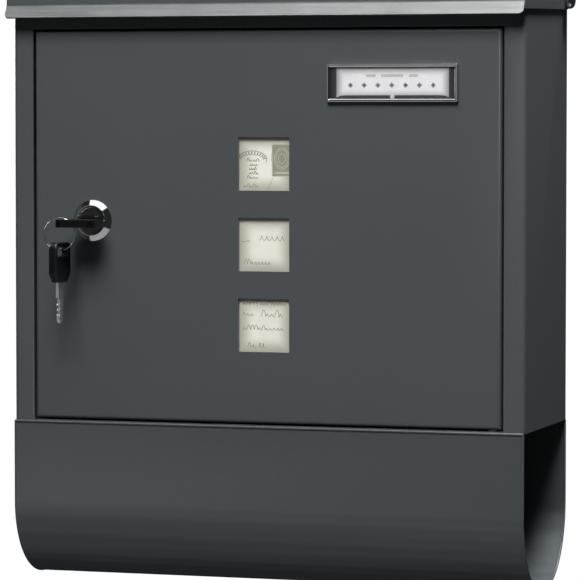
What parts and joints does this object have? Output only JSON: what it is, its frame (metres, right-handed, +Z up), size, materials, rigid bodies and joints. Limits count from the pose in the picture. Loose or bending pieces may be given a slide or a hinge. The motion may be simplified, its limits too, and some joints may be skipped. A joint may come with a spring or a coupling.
{
  "type": "wall mounted mailbox",
  "caption": "Wall mounted sheet steel mailbox with hinged lid, locking front door with square windows and name plate, keys, and an open newspaper holder below.",
  "frame": {"origin": "centre of the four wall holes, on the rear face of the back panel", "axes": "+X to the right seen from the front, +Y into the wall, +Z up"},
  "size_m": [0.313, 0.1377, 0.3378],
  "materials": {
    "steel_sheet": "fine-textured satin powder coat, anthracite grey, on 0.8 mm steel sheet",
    "satin_aluminium": "satin brushed along its length",
    "chrome": "polished chrome plate",
    "dark_chrome": "black chrome, polished",
    "zinc_steel": "zinc plated steel",
    "nickel_steel": "nickel plated, bright",
    "brass": "stamped brass",
    "black_rubber": "matt black rubber",
    "black_plastic": "moulded black plastic, matt",
    "key_plastic": "moulded black plastic, half gloss",
    "nylon": "black nylon",
    "clear_pane": "clear acrylic sheet",
    "clear_cover": "clear snap-in plastic cover",
    "cream_paper": "uncoated cream paper with pale ink strokes",
    "white_card": "smooth white card"
  },
  "bodies": {
    "housing": {"housing_shell": "steel_sheet", "back_panel": "steel_sheet", "floor_pan": "steel_sheet", "newspaper_holder": "steel_sheet", "holder_studs": "zinc_steel", "holder_nuts": "zinc_steel", "lid_pivot_screws": "zinc_steel", "lid_pivot_spacers": "nylon", "lid_pivot_washers": "black_rubber", "lid_cap_nuts": "chrome", "lid_buttons": "black_rubber", "door_hinge_pins": "zinc_steel", "door_hinge_washers": "nylon"},
    "lid": {"lid_panel": "steel_sheet", "lid_handle_strip": "satin_aluminium"},
    "door": {"door_panel": "steel_sheet", "window_pane": "clear_pane", "window_insert": "cream_paper", "window_retainer": "black_plastic", "window_studs": "zinc_steel", "window_nuts": "zinc_steel", "name_plate_frame": "chrome", "name_plate_base": "black_plastic", "name_card": "white_card", "name_plate_cover": "clear_cover", "name_plate_clips": "zinc_steel", "lock_barrel": "chrome", "lock_nut": "zinc_steel"},
    "plug": {"lock_plug": "dark_chrome", "lock_wafers": "brass", "lock_cam": "zinc_steel", "cam_washer": "zinc_steel", "cam_screw": "zinc_steel"},
    "key": {"key_blade": "nickel_steel", "key_bow": "key_plastic"},
    "ring": {"key_ring": "nickel_steel"},
    "spare_key": {"spare_key_blade": "nickel_steel", "spare_key_bow": "key_plastic"}
  },
  "joints": [
    {"name": "lid_hinge", "type": "hinge", "parent": "housing", "child": "lid", "pos_m": [0, -0.008, 0.1143], "axis": [-1, 0, 0], "range_deg": [0, 90]},
    {"name": "door_hinge", "type": "hinge", "parent": "housing", "child": "door", "pos_m": [0.1318, -0.095, -0.013], "axis": [0, 0, 1], "range_deg": [0, 110]},
    {"name": "plug_turn", "type": "hinge", "parent": "door", "child": "plug", "pos_m": [-0.102, -0.099, -0.0102], "axis": [0, -1, 0], "range_deg": [0, 90]},
    {"name": "key_pull", "type": "slide", "parent": "plug", "child": "key", "axis": [0, -1, 0], "range_m": [0, 0.026]},
    {"name": "ring_turn", "type": "hinge", "parent": "key", "child": "ring", "pos_m": [-0.1119, -0.125, -0.0172], "axis": [0, -1, 0], "range_deg": [-90, 0]},
    {"name": "spare_key_swing", "type": "hinge", "parent": "ring", "child": "spare_key", "pos_m": [-0.1119, -0.125, -0.0262], "axis": [1, 0, 0], "range_deg": [-20, 20]}
  ],
  "couplings": [
    {"joint": "ring_turn", "follows": "plug_turn", "ratio": -1}
  ]
}
